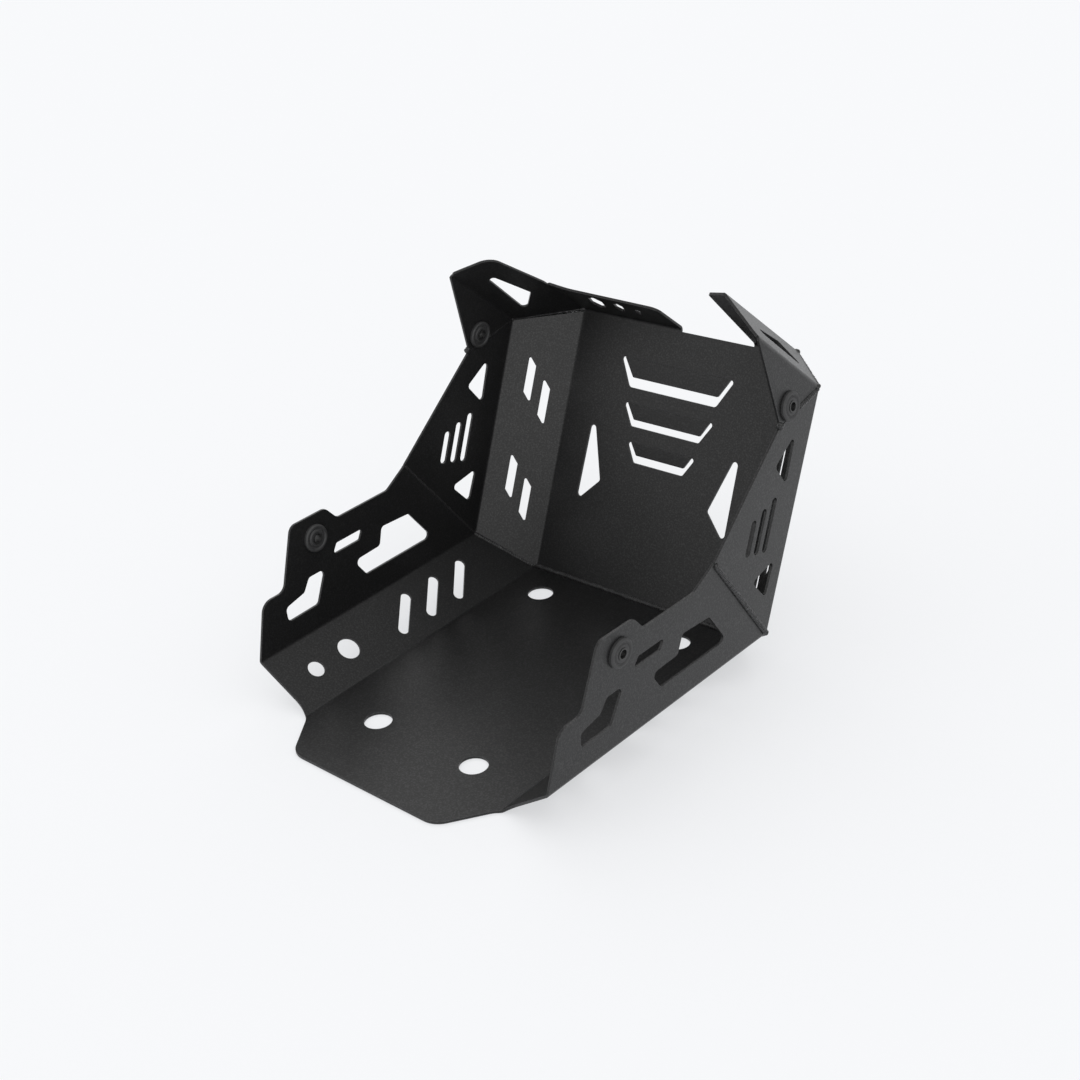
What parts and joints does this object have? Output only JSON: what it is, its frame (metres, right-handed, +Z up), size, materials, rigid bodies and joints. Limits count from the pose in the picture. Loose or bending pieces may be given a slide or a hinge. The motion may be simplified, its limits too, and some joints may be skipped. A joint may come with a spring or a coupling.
{
  "type": "motorcycle engine guard",
  "caption": "Black coated sheet-steel skid plate for a motorcycle engine: a folded tray welded to a leaning front guard, with cut-outs, pressed louvres and rubber-bushed bolt points.",
  "frame": {"origin": "middle of the bounding box, on the underside of the floor", "axes": "+X to the rider's right, +Y forward to the front panel, +Z up"},
  "size_m": [0.3092, 0.3978, 0.2855],
  "materials": {
    "coated_sheet": "fine-textured matt black powder coat on steel sheet",
    "coated_weld": "rippled weld bead under the same black powder coat",
    "bush_rubber": "moulded black rubber",
    "sleeve_steel": "dark turned steel"
  },
  "bodies": {
    "root": {"lower_tray": "coated_sheet", "front_guard": "coated_sheet", "floor_seam_weld": "coated_weld", "rear_bush_right": "bush_rubber", "rear_bush_left": "bush_rubber", "front_bush_right": "bush_rubber", "front_bush_left": "bush_rubber", "rear_sleeve_right": "sleeve_steel", "rear_sleeve_left": "sleeve_steel", "front_sleeve_right": "sleeve_steel", "front_sleeve_left": "sleeve_steel", "wall_seam_weld_right": "coated_weld", "wall_seam_weld_left": "coated_weld", "chamfer_seam_weld_right": "coated_weld", "chamfer_seam_weld_left": "coated_weld", "wing_edge_weld_right": "coated_weld", "wing_edge_weld_left": "coated_weld", "wing_seam_weld_right": "coated_weld", "wing_seam_weld_left": "coated_weld", "wing_tack_right": "coated_weld", "wing_tack_left": "coated_weld"}
  },
  "joints": []
}
